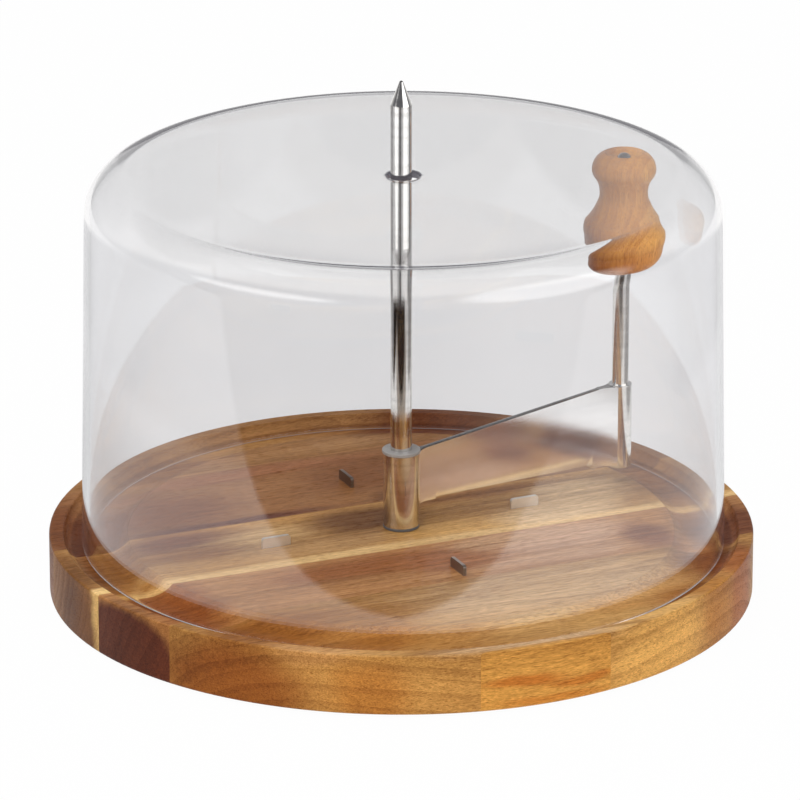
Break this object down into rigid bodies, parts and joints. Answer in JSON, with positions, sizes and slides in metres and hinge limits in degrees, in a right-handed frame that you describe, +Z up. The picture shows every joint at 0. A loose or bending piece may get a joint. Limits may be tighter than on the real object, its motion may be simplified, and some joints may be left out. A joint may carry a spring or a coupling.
{
  "type": "cheese curler",
  "caption": "Round wooden board with a centre pin, a turning scraper blade with a knob handle, and a clear lift-off dome.",
  "frame": {"origin": "centre of the board, on the surface that its feet stand on", "axes": "+Z up along the centre pin; +X to the right and -Y towards the viewer in the picture"},
  "size_m": [0.23, 0.23, 0.1733],
  "materials": {
    "board_plank_1": "oiled, sanded smooth",
    "board_plank_2": "oiled, sanded smooth",
    "board_plank_3": "oiled, sanded smooth",
    "board_plank_4": "oiled, sanded smooth",
    "board_plank_5": "oiled, sanded smooth",
    "board_plank_6": "oiled, sanded smooth",
    "foot_rubber": "matt",
    "spike_steel": "satin, as cut",
    "polished_steel": "polished",
    "zinc_steel": "zinc plated",
    "blade_steel": "polished sheet with a ground edge",
    "bush_plastic": "satin grey",
    "knob_wood": "turned and oiled",
    "clear_plastic": "clear and glossy"
  },
  "bodies": {
    "board": {"plank_1": "board_plank_1", "plank_2": "board_plank_2", "plank_3": "board_plank_3", "plank_4": "board_plank_4", "plank_5": "board_plank_5", "plank_6": "board_plank_6", "foot_1": "foot_rubber", "foot_2": "foot_rubber", "foot_3": "foot_rubber", "foot_4": "foot_rubber", "spike_1": "spike_steel", "spike_2": "spike_steel", "spike_3": "spike_steel", "spike_4": "spike_steel", "centre_pin": "polished_steel", "pin_washer": "zinc_steel", "pin_nut": "zinc_steel"},
    "bush_pair": {"hub_bush_upper": "bush_plastic", "hub_bush_lower": "bush_plastic"},
    "crank": {"hub_sleeve": "polished_steel", "blade": "blade_steel", "handle_socket": "polished_steel", "handle_rod": "polished_steel", "knob_rivet": "polished_steel"},
    "knob": {"knob": "knob_wood"},
    "dome": {"dome": "clear_plastic"}
  },
  "joints": [
    {"name": "crank_lift", "type": "slide", "parent": "board", "child": "bush_pair", "axis": [0, 0, 1], "range_m": [0, 0.155]},
    {"name": "crank_spin", "type": "hinge", "parent": "bush_pair", "child": "crank", "pos_m": [0, 0, 0.035], "axis": [0, 0, 1], "continuous": true},
    {"name": "knob_spin", "type": "hinge", "parent": "crank", "child": "knob", "pos_m": [0.07294, 0.04177, 0.12], "axis": [0, 0, 1], "continuous": true},
    {"name": "dome_lift", "type": "slide", "parent": "bush_pair", "child": "dome", "axis": [0, 0, 1], "range_m": [0, 0.16]}
  ]
}
